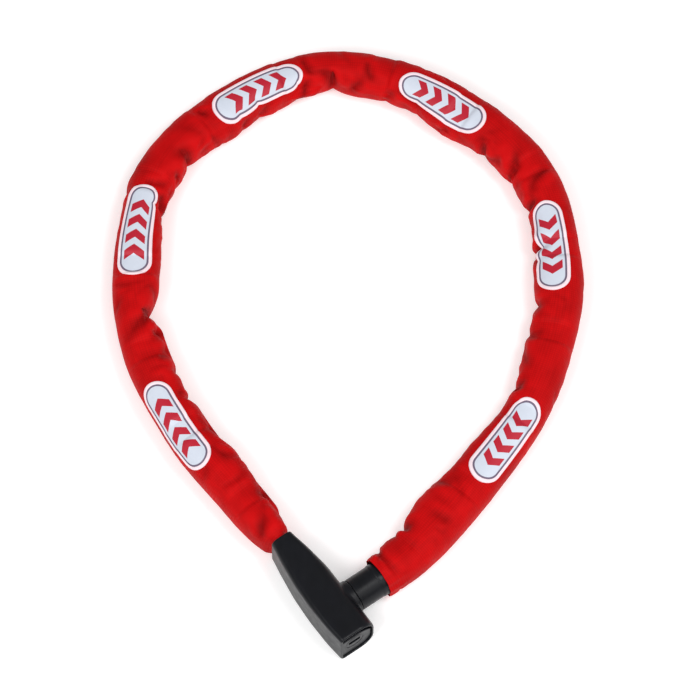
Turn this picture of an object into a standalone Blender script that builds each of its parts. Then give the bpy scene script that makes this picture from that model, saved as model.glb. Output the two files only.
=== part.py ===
"""Chain lock: a square-link steel chain in a woven sleeve, closed by a T-shaped key lock.

The lock lies flat on the ground plane. Its body points from a thin end, where the chain is
anchored, to a fat end with the key face. The loop of chain leaves the thin end, runs up and
round, and comes back as a ferrule that pushes into the side of the body.
Units are metres, +Z is up, and the origin is in the middle of the body's flat underside.
"""
import math

import bmesh
import bpy
import numpy as np
from mathutils import Matrix, Vector

MM = 0.001
GAP = 0.4 * MM                 # running clearance between neighbouring pieces

# Lock body, in its own frame: x runs from the thin end to the key face, y to the ferrule side
LOCK_HEADING = math.radians(-54.5)
LOCK_LENGTH = 72 * MM
LOCK_HEIGHT = 27 * MM
AXIS_HEIGHT = LOCK_HEIGHT / 2  # the chain, the socket and the key cylinder share this height
JACKET_WALL = 1.4 * MM
LEFT_CORNER = 2.2 * MM
SOCKET_X = 12.5 * MM           # where the ferrule's axis crosses the body
# x, width to the left, width to the right, radius of the right-hand corners
JACKET_STATIONS = [
    (-36 * MM, 6.4 * MM, 6.4 * MM, 3.0 * MM),
    (-24 * MM, 8.5 * MM, 9.2 * MM, 4.5 * MM),
    (-8 * MM, 10.6 * MM, 11.9 * MM, 7.0 * MM),
    (8 * MM, 11.3 * MM, 12.4 * MM, 9.0 * MM),
    (24 * MM, 10.9 * MM, 13.0 * MM, 9.5 * MM),
    (36 * MM, 9.6 * MM, 12.9 * MM, 9.5 * MM),
]

# Locking pin and ferrule, along y at SOCKET_X
PIN_RADIUS = 5 * MM
PIN_TIP = -7.5 * MM
GROOVE_HALF = 2.5 * MM
GROOVE_RADIUS = 2.5 * MM
BOSS_RADIUS = 10.2 * MM
BOSS_END = 14.8 * MM
COLLAR_START = 15.5 * MM
COLLAR_RADIUS = 8.4 * MM
COVER_RADIUS = 9.75 * MM
COVER_END = 34 * MM
FORK_ROOT = 29.5 * MM
FORK_END = 45 * MM
LAST_LINK_Y = 51.6 * MM
TURNED_SIDES = 32

# Chain
WIRE = 6 * MM
WIRE_CHAMFER = 1.1 * MM
LINK_INNER_LENGTH = 30.8 * MM
LINK_INNER_WIDTH = 9.8 * MM
LINK_COUNT = 30
RIVET_RADIUS = 3.3 * MM        # the anchor pin and the ferrule pin
ANCHOR_LINK_X = -41 * MM       # centre of the first link, just outside the thin end
ARC_CENTRE = (LINK_INNER_LENGTH - LINK_INNER_WIDTH) / 2

# Sleeve
SLEEVE_RADIUS = 13.5 * MM
SLEEVE_WALL = 1.0 * MM
SLEEVE_GAP = 3.0 * MM          # between neighbouring pieces of sleeve at a hinge
SLEEVE_MOUTH_Y = 31 * MM       # where the sleeve ends over the ferrule
LAST_LINKS = [2, 6, 11, 15, 19, 24, 28]   # the last link of each body before a hinge
BADGE_LENGTH = 58.5 * MM
BADGE_WIDTH = 20 * MM
BADGE_SKIN = 0.5 * MM
BADGE_PLACES = [90.5 * MM, 216 * MM, 335 * MM, 452.5 * MM, 573 * MM, 701 * MM]  # from the thin end

# Middle of the chain's route between lock and ferrule, in mm, clockwise seen from above
ROUTE_LOOP = [(-64, 85), (-86, 120), (-102, 158), (-108, 200), (-102, 243), (-82.5, 281.5),
              (-48.5, 309), (-11, 327), (27.5, 328.5), (64, 316), (97, 294), (123, 265), (136.5, 228),
              (139, 188), (132.5, 148), (117, 109), (93, 75), (66.5, 39.5)]
ROUTE_LOCK_END = [-20, -31, -50, -70]     # lock-frame x, on the body's own axis
ROUTE_FERRULE_END = [42, 30, 18, 4]       # lock-frame y, on the socket's axis

# Key cylinder and latch
PLUG_RADIUS = 5.5 * MM
CAM_THROW = 3.5 * MM
CRANK_RADIUS = 1.5 * MM
CRANK_START = 19 * MM
CAM_START = 21.7 * MM
CAM_END = 23.2 * MM
PLUG_START = 23.6 * MM
WAFER_PLACES = [26 * MM, 28.7 * MM, 31.4 * MM]
WAFER_HALF = (0.5 * MM, 4.4 * MM, 3.0 * MM)       # thickness, width, height, halved
WAFER_WINDOW = (3.3 * MM, 1.4 * MM)
KEYWAY_START = 24.6 * MM
KEYWAY_HALF = (3.5 * MM, 1.15 * MM)
FACE_RECESS = 1.0 * MM         # the key face lies this far inside the jacket's rim
LATCH_BACK = 15.3 * MM         # lock-frame x of the tongue's side away from the key
TONGUE_END = 17.9 * MM
TONGUE_HALF = 1.9 * MM
TONGUE_TOP = 9 * MM
LATCH_BOTTOM = 4 * MM
FOOT_TOP = 6.6 * MM
YOKE_START = 19.1 * MM
YOKE_END = 20.9 * MM
YOKE_SIDES = (-4.5 * MM, 7 * MM)
YOKE_TOP = 17 * MM
SLOT_CLEARANCE = 0.4 * MM      # round the crank pin

# Steel core, key housing and end cap along the body
CORE_START = -34 * MM
CORE_END = 21.2 * MM
HOUSING_START = 21.6 * MM
HOUSING_END = 32 * MM
CAP_START = 32.4 * MM
ANCHOR_SLOT_END = -18.6 * MM
FORK_HALF = 3.5 * MM           # half width of the slots that hold the first and last link
RIVET_CLEARANCE = 0.3 * MM
CHAMBER_CLEARANCE = 0.8 * MM   # below the latch, with the travel's 5 mm and 1.2 mm left above

LOCK_FRAME = Matrix.Rotation(LOCK_HEADING, 4, "Z")
ALONG_X = Matrix.Rotation(math.pi / 2, 4, "Y")
ALONG_Y = Matrix.Rotation(-math.pi / 2, 4, "X")


def clear_scene():
    for thing in list(bpy.data.objects):
        bpy.data.objects.remove(thing, do_unlink=True)


def new_collection(name):
    collection = bpy.data.collections.new(name)
    bpy.context.scene.collection.children.link(collection)
    return collection


def make_material(name, colour, roughness, metallic=0.0):
    material = bpy.data.materials.new(name)
    material.use_nodes = True
    shader = material.node_tree.nodes["Principled BSDF"]
    shader.inputs["Base Color"].default_value = (*colour, 1.0)
    shader.inputs["Roughness"].default_value = roughness
    shader.inputs["Metallic"].default_value = metallic
    return material


clear_scene()
PARTS = new_collection("chain_lock")
CUTTERS = new_collection("cutters")
BLACK_PLASTIC = make_material("black_plastic", (0.008, 0.009, 0.012), 0.42)
HARDENED_STEEL = make_material("hardened_steel", (0.48, 0.49, 0.50), 0.35, 1.0)
ZINC = make_material("die_cast_zinc", (0.55, 0.56, 0.58), 0.45, 1.0)
BRASS = make_material("brass", (0.75, 0.55, 0.22), 0.3, 1.0)
RED_FABRIC = make_material("red_nylon", (0.60, 0.006, 0.009), 0.6)
WHITE_RUBBER = make_material("white_badge", (0.80, 0.81, 0.84), 0.5)


def add_mesh(name, mesh, material, collection=None, matrix=None):
    thing = bpy.data.objects.new(name, mesh)
    (collection or PARTS).objects.link(thing)
    thing.matrix_world = matrix or Matrix.Identity(4)
    if material and not mesh.materials:
        mesh.materials.append(material)
    return thing


def mesh_from(bm, name):
    bmesh.ops.recalc_face_normals(bm, faces=bm.faces[:])
    mesh = bpy.data.meshes.new(name)
    bm.to_mesh(mesh)
    bm.free()
    return mesh


def cylinder(name, radius, start, end, axis, centre, material=None, sides=24):
    """A round bar from start to end along the lock frame's x, y or z, through centre."""
    bm = bmesh.new()
    bmesh.ops.create_cone(bm, cap_ends=True, segments=sides, radius1=radius, radius2=radius,
                          depth=end - start)
    bmesh.ops.translate(bm, verts=bm.verts[:], vec=(0, 0, (start + end) / 2))
    turn = {"x": ALONG_X, "y": ALONG_Y, "z": Matrix.Identity(4)}[axis]
    place = LOCK_FRAME @ Matrix.Translation(centre) @ turn
    return add_mesh(name, mesh_from(bm, name), material, matrix=place)


def box(name, low, high, material=None):
    """A block between two corners of the lock frame."""
    bm = bmesh.new()
    bmesh.ops.create_cube(bm, size=1.0)
    low = Vector(low)
    size = Vector(high) - low
    bmesh.ops.scale(bm, verts=bm.verts[:], vec=size)
    bmesh.ops.translate(bm, verts=bm.verts[:], vec=low + size / 2)
    return add_mesh(name, mesh_from(bm, name), material, matrix=LOCK_FRAME)


def boolean(thing, cutter, operation="DIFFERENCE"):
    """Cut thing by cutter, or join them, and keep the cutter out of the render."""
    for collection in list(cutter.users_collection):
        collection.objects.unlink(cutter)
    CUTTERS.objects.link(cutter)
    cutter.hide_render = True
    cutter.display_type = "WIRE"
    change = thing.modifiers.new(cutter.name, "BOOLEAN")
    change.operation = operation
    change.solver = "EXACT"
    change.object = cutter


def smooth(thing, angle=35):
    thing.data.shade_smooth()
    thing.data.set_sharp_from_angle(angle=math.radians(angle))


# ---------------------------------------------------------------- route and links

def spline(points, steps=60):
    """Cubic B-spline: each span blends four neighbouring points, so the bend changes smoothly."""
    points = np.array(points, dtype=float)
    points = np.vstack([2 * points[0] - points[1], points, 2 * points[-1] - points[-2]])
    t = np.linspace(0, 1, steps, endpoint=False)[:, None]
    spans = []
    for a, b, c, d in zip(points, points[1:], points[2:], points[3:]):
        spans.append(((1 - t) ** 3 * a + (3 * t ** 3 - 6 * t ** 2 + 4) * b
                      + (-3 * t ** 3 + 3 * t ** 2 + 3 * t + 1) * c + t ** 3 * d) / 6)
    return np.vstack(spans)


def lock_point(x, y):
    point = LOCK_FRAME @ Vector((x, y, 0))
    return (point.x, point.y)


def route_points():
    start = [lock_point(x * MM, 0) for x in ROUTE_LOCK_END]
    loop = [(x * MM, y * MM) for x, y in ROUTE_LOOP]
    end = [lock_point(SOCKET_X, y * MM) for y in ROUTE_FERRULE_END]
    return spline(start + loop + end)


class Route:
    """The chain's middle line in plan, asked for by distance along it."""

    def __init__(self):
        self.points = route_points()
        steps = np.linalg.norm(np.diff(self.points, axis=0), axis=1)
        self.along = np.concatenate([[0], np.cumsum(steps)])

    def nearest(self, x, y):
        target = np.array(lock_point(x, y))
        return self.along[np.linalg.norm(self.points - target, axis=1).argmin()]

    def at(self, s):
        return np.array([np.interp(s, self.along, self.points[:, k]) for k in (0, 1)])

    def heading(self, s, reach=1 * MM):
        step = self.at(s + reach) - self.at(s - reach)
        return math.atan2(step[1], step[0])

    def place(self, s):
        x, y = self.at(s)
        turn = Matrix.Rotation(self.heading(s), 4, "Z")
        return Matrix.Translation((x, y, AXIS_HEIGHT)) @ turn


ROUTE = Route()
THIN_END = ROUTE.nearest(-LOCK_LENGTH / 2, 0)
FIRST_LINK = ROUTE.nearest(ANCHOR_LINK_X, 0)
LAST_LINK = ROUTE.nearest(SOCKET_X, LAST_LINK_Y)
PITCH = (LAST_LINK - FIRST_LINK) / (LINK_COUNT - 1)


def link_place(number):
    return FIRST_LINK + (number - 1) * PITCH


def hinge_place(last_link):
    """Distance along the route of the hinge after a link: odd links stand, even links lie flat,
    and the hinge is at the centre of the flat link's end arc."""
    if last_link % 2:
        return link_place(last_link + 1) - ARC_CENTRE
    return link_place(last_link) + ARC_CENTRE


def poly_curve(name, points, cyclic=False):
    curve = bpy.data.curves.new(name, "CURVE")
    curve.dimensions = "3D"
    line = curve.splines.new("POLY")
    line.points.add(len(points) - 1)
    for spot, point in zip(line.points, points):
        spot.co = (*point, 1.0)
    line.use_cyclic_u = cyclic
    return curve


def curve_to_mesh(curve, name):
    """The evaluated mesh of a curve, with its seams welded."""
    thing = bpy.data.objects.new(name + "_curve", curve)
    PARTS.objects.link(thing)
    graph = bpy.context.evaluated_depsgraph_get()
    mesh = bpy.data.meshes.new_from_object(thing.evaluated_get(graph))
    bpy.data.objects.remove(thing, do_unlink=True)
    bm = bmesh.new()
    bm.from_mesh(mesh)
    bmesh.ops.remove_doubles(bm, verts=bm.verts[:], dist=0.01 * MM)
    bmesh.ops.recalc_face_normals(bm, faces=bm.faces[:])
    bm.to_mesh(mesh)
    bm.free()
    mesh.name = name
    return mesh


def wire_section():
    """Square bar with chamfered corners, as a closed outline for a curve's bevel."""
    half = WIRE / 2
    flat = half - WIRE_CHAMFER
    corners = [(half, -flat), (half, flat), (flat, half), (-flat, half),
               (-half, flat), (-half, -flat), (-flat, -half), (flat, -half)]
    curve = poly_curve("wire_section", [(x, y, 0) for x, y in corners], cyclic=True)
    curve.dimensions = "2D"
    guide = bpy.data.objects.new("wire_section", curve)
    CUTTERS.objects.link(guide)
    guide.hide_render = True
    guide.display_type = "WIRE"
    return guide


def link_mesh():
    """A stadium: two straight sides joined by half circles of the wire's middle line."""
    radius = (LINK_INNER_WIDTH + WIRE) / 2
    points = []
    for side in (1, -1):
        for k in range(7):
            angle = math.pi * (k / 6 - 0.5)
            points.append((side * (ARC_CENTRE + radius * math.cos(angle)),
                           side * radius * math.sin(angle), 0))
    curve = poly_curve("chain_link", points, cyclic=True)
    curve.dimensions = "2D"
    curve.bevel_mode = "OBJECT"
    curve.bevel_object = wire_section()
    return curve_to_mesh(curve, "chain_link")


def make_links():
    mesh = link_mesh()
    for number in range(1, LINK_COUNT + 1):
        stand = Matrix.Rotation(math.pi / 2 if number % 2 else 0.0, 4, "X")
        add_mesh(f"link_{number:02d}", mesh, HARDENED_STEEL,
                 matrix=ROUTE.place(link_place(number)) @ stand)


# ---------------------------------------------------------------- sleeve and badges

def tube(name, start, end, radius, wall, material):
    """A round open-ended tube along the route, its wall thickened inwards."""
    count = max(4, round((end - start) / (11 * MM)) + 1)
    spots = [ROUTE.at(s) for s in np.linspace(start, end, count)]
    curve = poly_curve(name, [(x, y, AXIS_HEIGHT) for x, y in spots])
    curve.bevel_depth = radius
    curve.bevel_resolution = 2
    curve.use_fill_caps = False
    thing = add_mesh(name, curve_to_mesh(curve, name), material)
    wall_modifier = thing.modifiers.new("wall", "SOLIDIFY")
    wall_modifier.thickness = wall
    wall_modifier.offset = -1
    smooth(thing, 50)
    return thing


def make_sleeve():
    hinges = [hinge_place(number) for number in LAST_LINKS]
    mouth = ROUTE.nearest(SOCKET_X, SLEEVE_MOUTH_Y)
    edges = [THIN_END + 0.6 * MM - SLEEVE_GAP / 2, *hinges, mouth + SLEEVE_GAP / 2]
    names = ["sleeve_lock_end"] + [f"sleeve_{k}" for k in range(1, 7)] + ["sleeve_ferrule_end"]
    for name, start, end in zip(names, edges, edges[1:]):
        tube(name, start + SLEEVE_GAP / 2, end - SLEEVE_GAP / 2, SLEEVE_RADIUS, SLEEVE_WALL,
             RED_FABRIC)


def pill_prism(name, place):
    """Upright prism of a rounded oblong, for cutting a badge out of a thin skin."""
    radius = BADGE_WIDTH / 2
    straight = BADGE_LENGTH / 2 - radius
    points = []
    for side in (1, -1):
        for k in range(7):
            angle = math.pi * (k / 6 - 0.5)
            points.append((side * (straight + radius * math.cos(angle)),
                           side * radius * math.sin(angle), 0))
    curve = poly_curve(name, points, cyclic=True)
    curve.dimensions = "2D"
    curve.fill_mode = "BOTH"
    curve.extrude = SLEEVE_RADIUS / 2
    lift = Matrix.Translation((0, 0, SLEEVE_RADIUS))
    return add_mesh(name, curve_to_mesh(curve, name), None, CUTTERS, place @ lift)


def make_badges():
    for number, place in enumerate(BADGE_PLACES, 1):
        middle = THIN_END + place
        reach = BADGE_LENGTH / 2 + 3 * MM
        badge = tube(f"badge_{number}", middle - reach, middle + reach,
                     SLEEVE_RADIUS + 0.4 * MM + BADGE_SKIN, BADGE_SKIN, WHITE_RUBBER)
        prism = pill_prism(f"badge_outline_{number}", ROUTE.place(middle))
        boolean(badge, prism, "INTERSECT")


# ---------------------------------------------------------------- lock body

def jacket_section(x, inset):
    """Outline of the body at x: a rectangle with small left and large right corner arcs."""
    xs, lefts, rights, corners = zip(*JACKET_STATIONS)
    left = float(np.interp(x, xs, lefts)) - inset
    right = float(np.interp(x, xs, rights)) - inset
    big = max(float(np.interp(x, xs, corners)) - inset, 0.5 * MM)
    small = max(LEFT_CORNER - inset, 0.5 * MM)
    top = LOCK_HEIGHT - inset
    arcs = [(right - big, inset + big, big, -90), (right - big, top - big, big, 0),
            (-left + small, top - small, small, 90), (-left + small, inset + small, small, 180)]
    outline = []
    for y, z, radius, first in arcs:
        for k in range(5):
            angle = math.radians(first + 90 * k / 4)
            outline.append((x, y + radius * math.cos(angle), z + radius * math.sin(angle)))
    return outline


def body_loft(name, start, end, inset, material=None):
    """A solid through the body's outlines from start to end, drawn in by inset."""
    middle = [s[0] for s in JACKET_STATIONS if start + 1 * MM < s[0] < end - 1 * MM]
    bm = bmesh.new()
    rings = []
    for x in [start, *middle, end]:
        rings.append([bm.verts.new(p) for p in jacket_section(x, inset)])
    for ring, following in zip(rings, rings[1:]):
        for k in range(len(ring)):
            after = (k + 1) % len(ring)
            bm.faces.new((ring[k], ring[after], following[after], following[k]))
    bm.faces.new(rings[0])
    bm.faces.new(rings[-1])
    return add_mesh(name, mesh_from(bm, name), material, matrix=LOCK_FRAME)


def make_jacket():
    jacket = body_loft("jacket", -LOCK_LENGTH / 2, LOCK_LENGTH / 2, 0, BLACK_PLASTIC)
    socket = (SOCKET_X, 0, AXIS_HEIGHT)
    boolean(jacket, cylinder("boss", BOSS_RADIUS, 4 * MM, BOSS_END, "y", socket, sides=32), "UNION")
    boolean(jacket, body_loft("jacket_hollow", -38 * MM, 38 * MM, JACKET_WALL))
    boolean(jacket, cylinder("jacket_bore", PIN_RADIUS + 0.9 * MM, 0, 20 * MM, "y", socket))
    smooth(jacket)


def make_core():
    """Steel core: a fork for the first link, the bore for the locking pin and a latch chamber."""
    core = body_loft("lock_core", CORE_START, CORE_END, JACKET_WALL + GAP, ZINC)
    boolean(core, box("anchor_slot", (CORE_START - 6 * MM, -FORK_HALF, -1 * MM),
                      (ANCHOR_SLOT_END, FORK_HALF, LOCK_HEIGHT + 1 * MM)))
    rivet = (anchor_x(), 0, AXIS_HEIGHT)
    boolean(core, cylinder("anchor_bore", RIVET_RADIUS + RIVET_CLEARANCE, -12 * MM, 12 * MM, "y",
                           rivet))
    socket = (SOCKET_X, 0, AXIS_HEIGHT)
    boolean(core, cylinder("socket_bore", PIN_RADIUS + GAP, -8 * MM, 15 * MM, "y", socket))
    bottom, open_end = LATCH_BOTTOM - CHAMBER_CLEARANCE, CORE_END + 0.8 * MM
    boolean(core, box("tongue_chamber", (LATCH_BACK - GAP, -TONGUE_HALF - 0.5 * MM, bottom),
                      (open_end, TONGUE_HALF + 0.5 * MM, 14.6 * MM)))
    boolean(core, box("yoke_chamber", (YOKE_START - GAP, YOKE_SIDES[0] - 0.5 * MM, bottom),
                      (open_end, YOKE_SIDES[1] + 0.5 * MM, YOKE_TOP + 6.2 * MM)))


def anchor_x():
    return ANCHOR_LINK_X + LINK_INNER_LENGTH / 2 - GAP - RIVET_RADIUS


def make_anchor_pin():
    cylinder("anchor_pin", RIVET_RADIUS, -5.0 * MM, 5.0 * MM, "y", (anchor_x(), 0, AXIS_HEIGHT),
             HARDENED_STEEL)


def make_housing():
    housing = body_loft("cylinder_housing", HOUSING_START, HOUSING_END, JACKET_WALL + GAP, ZINC)
    boolean(housing, cylinder("housing_bore", PLUG_RADIUS + GAP, 20 * MM, 35 * MM, "x",
                              (0, 0, AXIS_HEIGHT)))


def make_end_cap():
    face = LOCK_LENGTH / 2 - FACE_RECESS
    cap = body_loft("end_cap", CAP_START, face, JACKET_WALL + 0.3 * MM, BLACK_PLASTIC)
    boolean(cap, cylinder("cap_bore", PLUG_RADIUS + GAP, 31 * MM, 38 * MM, "x",
                          (0, 0, AXIS_HEIGHT)))


# ---------------------------------------------------------------- key cylinder and latch

def make_plug():
    axis = (0, 0, AXIS_HEIGHT)
    face = LOCK_LENGTH / 2 - FACE_RECESS
    plug = cylinder("plug", PLUG_RADIUS, PLUG_START, face, "x", axis, BRASS, sides=32)
    width, height = KEYWAY_HALF
    boolean(plug, box("keyway", (KEYWAY_START, -width, AXIS_HEIGHT - height),
                      (face + 2 * MM, width, AXIS_HEIGHT + height)))
    thick, wide, high = WAFER_HALF
    slot_thick, slot_high = thick + 0.35 * MM, high + 0.3 * MM
    window_wide, window_high = WAFER_WINDOW
    for number, x in enumerate(WAFER_PLACES, 1):
        boolean(plug, box(f"wafer_slot_{number}", (x - slot_thick, -7 * MM, AXIS_HEIGHT - slot_high),
                          (x + slot_thick, 7 * MM, AXIS_HEIGHT + slot_high)))
        wafer = box(f"wafer_{number}", (x - thick, -wide, AXIS_HEIGHT - high),
                    (x + thick, wide, AXIS_HEIGHT + high), BRASS)
        boolean(wafer, box(f"wafer_window_{number}", (x - 2 * MM, -window_wide, AXIS_HEIGHT - window_high),
                           (x + 2 * MM, window_wide, AXIS_HEIGHT + window_high)))


def crank_centre():
    """The crank starts 45 degrees below the level, towards the ferrule side."""
    reach = CAM_THROW * math.sin(math.pi / 4)
    return reach, AXIS_HEIGHT - reach


def make_cam():
    """Disc on the inner end of the plug with a crank pin that works the latch."""
    y, z = crank_centre()
    cam = cylinder("cam", PLUG_RADIUS - 0.4 * MM, CAM_START, CAM_END, "x", (0, 0, AXIS_HEIGHT),
                   HARDENED_STEEL)
    crank = cylinder("crank", CRANK_RADIUS, CRANK_START, (CAM_START + CAM_END) / 2, "x", (0, y, z),
                     sides=16)
    boolean(cam, crank, "UNION")


def make_latch():
    """Tongue that rises into the pin's groove, a foot under it and a yoke round the crank."""
    y, z = crank_centre()
    low = (LATCH_BACK, -TONGUE_HALF, LATCH_BOTTOM)
    latch = box("latch_bolt", low, (TONGUE_END, TONGUE_HALF, TONGUE_TOP), HARDENED_STEEL)
    foot_end = (YOKE_START + YOKE_END) / 2
    boolean(latch, box("latch_foot", low, (foot_end, TONGUE_HALF, FOOT_TOP)), "UNION")
    boolean(latch, box("latch_yoke", (YOKE_START, YOKE_SIDES[0], LATCH_BOTTOM),
                       (YOKE_END, YOKE_SIDES[1], YOKE_TOP)), "UNION")
    half = CRANK_RADIUS + SLOT_CLEARANCE
    boolean(latch, box("latch_slot", (YOKE_START - 1 * MM, y - half, z - half),
                       (YOKE_END + 1 * MM, CAM_THROW + half, z + half)))


# ---------------------------------------------------------------- ferrule

def turned(name, profile, material):
    """A profile of (radius, distance along y) turned about the socket's axis."""
    bm = bmesh.new()
    spots = [bm.verts.new((radius, 0, along)) for radius, along in profile]
    for first, second in zip(spots, spots[1:]):
        bm.edges.new((first, second))
    mesh = bpy.data.meshes.new(name)
    bm.to_mesh(mesh)
    bm.free()
    place = LOCK_FRAME @ Matrix.Translation((SOCKET_X, 0, AXIS_HEIGHT)) @ ALONG_Y
    thing = add_mesh(name, mesh, material, matrix=place)
    screw = thing.modifiers.new("turn", "SCREW")
    screw.steps = TURNED_SIDES
    screw.render_steps = TURNED_SIDES
    screw.use_merge_vertices = True
    screw.merge_threshold = 0.01 * MM
    return thing


def make_locking_pin():
    """Hardened pin with an annular groove, a collar and a fork for the last link."""
    chamfer = 1 * MM
    pin = turned("locking_pin", [
        (0, FORK_END), (COLLAR_RADIUS, FORK_END), (COLLAR_RADIUS, COLLAR_START),
        (PIN_RADIUS, COLLAR_START), (PIN_RADIUS, GROOVE_HALF), (GROOVE_RADIUS, GROOVE_HALF),
        (GROOVE_RADIUS, -GROOVE_HALF), (PIN_RADIUS, -GROOVE_HALF),
        (PIN_RADIUS, PIN_TIP + chamfer), (PIN_RADIUS - chamfer, PIN_TIP), (0, PIN_TIP),
    ], HARDENED_STEEL)
    boolean(pin, box("fork_slot", (SOCKET_X - 12 * MM, FORK_ROOT, AXIS_HEIGHT - FORK_HALF),
                     (SOCKET_X + 12 * MM, FORK_END + 5 * MM, AXIS_HEIGHT + FORK_HALF)))
    boolean(pin, cylinder("fork_bore", RIVET_RADIUS + RIVET_CLEARANCE, -12 * MM, 12 * MM, "z",
                          (SOCKET_X, ferrule_pin_y(), AXIS_HEIGHT)))
    smooth(pin)


def ferrule_pin_y():
    return LAST_LINK_Y - LINK_INNER_LENGTH / 2 + GAP + RIVET_RADIUS


def make_ferrule():
    inner = COLLAR_RADIUS + 0.35 * MM
    start = BOSS_END + 0.5 * MM
    cover = turned("ferrule_cover", [
        (COVER_RADIUS, COVER_END), (COVER_RADIUS, start), (inner, start), (inner, COVER_END),
        (COVER_RADIUS, COVER_END)], BLACK_PLASTIC)
    smooth(cover)
    cylinder("ferrule_pin", RIVET_RADIUS, -7.3 * MM, 7.3 * MM, "z",
             (SOCKET_X, ferrule_pin_y(), AXIS_HEIGHT), HARDENED_STEEL)


make_links()
make_sleeve()
make_badges()
make_jacket()
make_core()
make_anchor_pin()
make_housing()
make_end_cap()
make_plug()
make_cam()
make_latch()
make_locking_pin()
make_ferrule()
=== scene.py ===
"""Chain lock: looks for a square-link chain in a woven nylon sleeve with a T-shaped key lock.

Every length is in metres in the part's own frame. The lock's own axes are x from the thin end
to the key face, y towards the ferrule and z up. The sleeve is asked for by distance along the
chain from the lock's thin end, and by an angle round it: 0 outside the loop, 90 on top, 180
inside the loop and 270 on the floor.
"""

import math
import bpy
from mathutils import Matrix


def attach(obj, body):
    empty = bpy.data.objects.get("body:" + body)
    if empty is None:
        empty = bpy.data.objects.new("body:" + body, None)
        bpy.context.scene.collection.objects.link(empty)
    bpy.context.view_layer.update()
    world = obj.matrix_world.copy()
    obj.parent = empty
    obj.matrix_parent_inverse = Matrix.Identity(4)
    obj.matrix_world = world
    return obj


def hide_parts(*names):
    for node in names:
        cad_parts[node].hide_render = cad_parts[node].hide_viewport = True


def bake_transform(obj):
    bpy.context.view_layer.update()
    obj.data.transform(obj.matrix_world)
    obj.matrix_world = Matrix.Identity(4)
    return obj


bl_info = {
    "name": "Chain Lock",
    "version": (1, 0, 0),
    "blender": (4, 5, 0),
    "location": "View3D > Sidebar > Chain Lock",
    "description": "Builds the sleeve, badges, lock body and ferrule of a chain lock",
    "category": "Object",
}

import bmesh
import bpy
import numpy as np
from bpy.props import FloatProperty, FloatVectorProperty, PointerProperty
from mathutils import Vector

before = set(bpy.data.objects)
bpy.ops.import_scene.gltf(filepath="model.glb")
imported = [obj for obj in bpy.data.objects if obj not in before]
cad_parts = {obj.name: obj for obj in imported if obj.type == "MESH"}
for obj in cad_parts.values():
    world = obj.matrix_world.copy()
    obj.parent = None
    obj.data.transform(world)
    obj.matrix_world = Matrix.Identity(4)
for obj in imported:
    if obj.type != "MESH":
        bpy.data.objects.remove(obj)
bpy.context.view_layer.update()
MM = 0.001

# The lock's frame in plan, and where the socket crosses it
LOCK_HEADING = math.radians(-54.5)
LOCK_X = np.array([math.cos(LOCK_HEADING), math.sin(LOCK_HEADING), 0.0])
LOCK_Y = np.array([-math.sin(LOCK_HEADING), math.cos(LOCK_HEADING), 0.0])
LOCK_Z = np.array([0.0, 0.0, 1.0])
AXIS_HEIGHT = 13.5 * MM
LOCK_HEIGHT = 27 * MM
LOCK_HALF = 36 * MM
SOCKET_X = 12.5 * MM

# Control points of the chain's middle line, in millimetres: the lock's own axis, the loop
# (clockwise seen from above) and the socket's axis
ROUTE_LOCK_END = [-20, -31, -50, -70]
ROUTE_LOOP = [(-64, 85), (-86, 120), (-102, 158), (-108, 200), (-102, 243), (-82.5, 281.5),
              (-48.5, 309), (-11, 327), (27.5, 328.5), (64, 316), (97, 294), (123, 265),
              (136.5, 228), (139, 188), (132.5, 148), (117, 109), (93, 75), (66.5, 39.5)]
ROUTE_FERRULE_END = [42, 30, 18, 4]

# Chain under the sleeve
LINK_PITCH = 27.07 * MM
FIRST_LINK = 5 * MM
LINK_COUNT = 30
LINK_HALF_WIDTH = 10.9 * MM
LINK_ARC_CENTRE = 10.5 * MM

# Sleeve outline by distance along it, in millimetres: half widths outside and inside the loop
SLEEVE_START = -5 * MM
SLEEVE_END = 808.5 * MM
OUTER_EDGE = [(-6, 6.5), (2, 7.6), (10, 10.8), (24, 13), (48, 13.2), (84, 14.2), (108, 13.6),
              (144, 14.4), (168, 13.4), (184, 13.2), (204, 12), (228, 11.6), (242, 12.5),
              (254, 14.8), (276, 13.6), (324, 12.8), (372, 13.8), (404, 12.8), (444, 12.4),
              (492, 12.7), (510, 14.2), (528, 14), (560, 12.6), (584, 14.2), (600, 14),
              (624, 12.6), (648, 13), (720, 13.4), (768, 13.4), (792, 12.2), (804, 11),
              (811, 10.9)]
INNER_EDGE = [(-6, 6), (3, 7.4), (12, 9), (24, 9.4), (46, 12.4), (60, 13), (76, 11.6), (96, 11),
              (116, 10.4), (146, 10.4), (160, 9.4), (168, 8), (176, 9.2), (190, 14), (204, 15.5),
              (224, 13.6), (240, 11.6), (252, 11.4), (286, 10.8), (300, 13), (316, 15.5),
              (330, 14), (345, 12.2), (358, 11), (372, 8.5), (384, 7), (394, 10.5), (410, 11.6),
              (432, 12.6), (446, 15), (460, 16.8), (476, 14.5), (492, 14), (506, 12), (528, 12),
              (545, 11.8), (562, 13.6), (578, 14.6), (592, 14.2), (606, 13), (626, 14.8),
              (642, 13.5), (658, 11), (676, 11.2), (696, 13.7), (726, 15.6), (746, 17.5),
              (760, 16.8), (776, 14), (790, 14.4), (803, 12.8), (811, 11.8)]
# Where the slack cloth pinches in on the inside of the loop: distance, depth
PINCHES = [(22, 0.8), (85, 1.2), (111, 1.8), (130, 0.8), (157, 1.8), (172, 3.4), (241, 2.8),
           (263, 1.4), (280, 2.4), (322, 1.2), (335, 2.4), (362, 2.0), (384, 3.2), (417, 1.8),
           (438, 1.0), (488, 1.6), (513, 2.8), (536, 2.8), (566, 2.2), (600, 2.8), (622, 1.2),
           (662, 2.4), (773, 2.6), (796, 1.6)]
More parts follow.
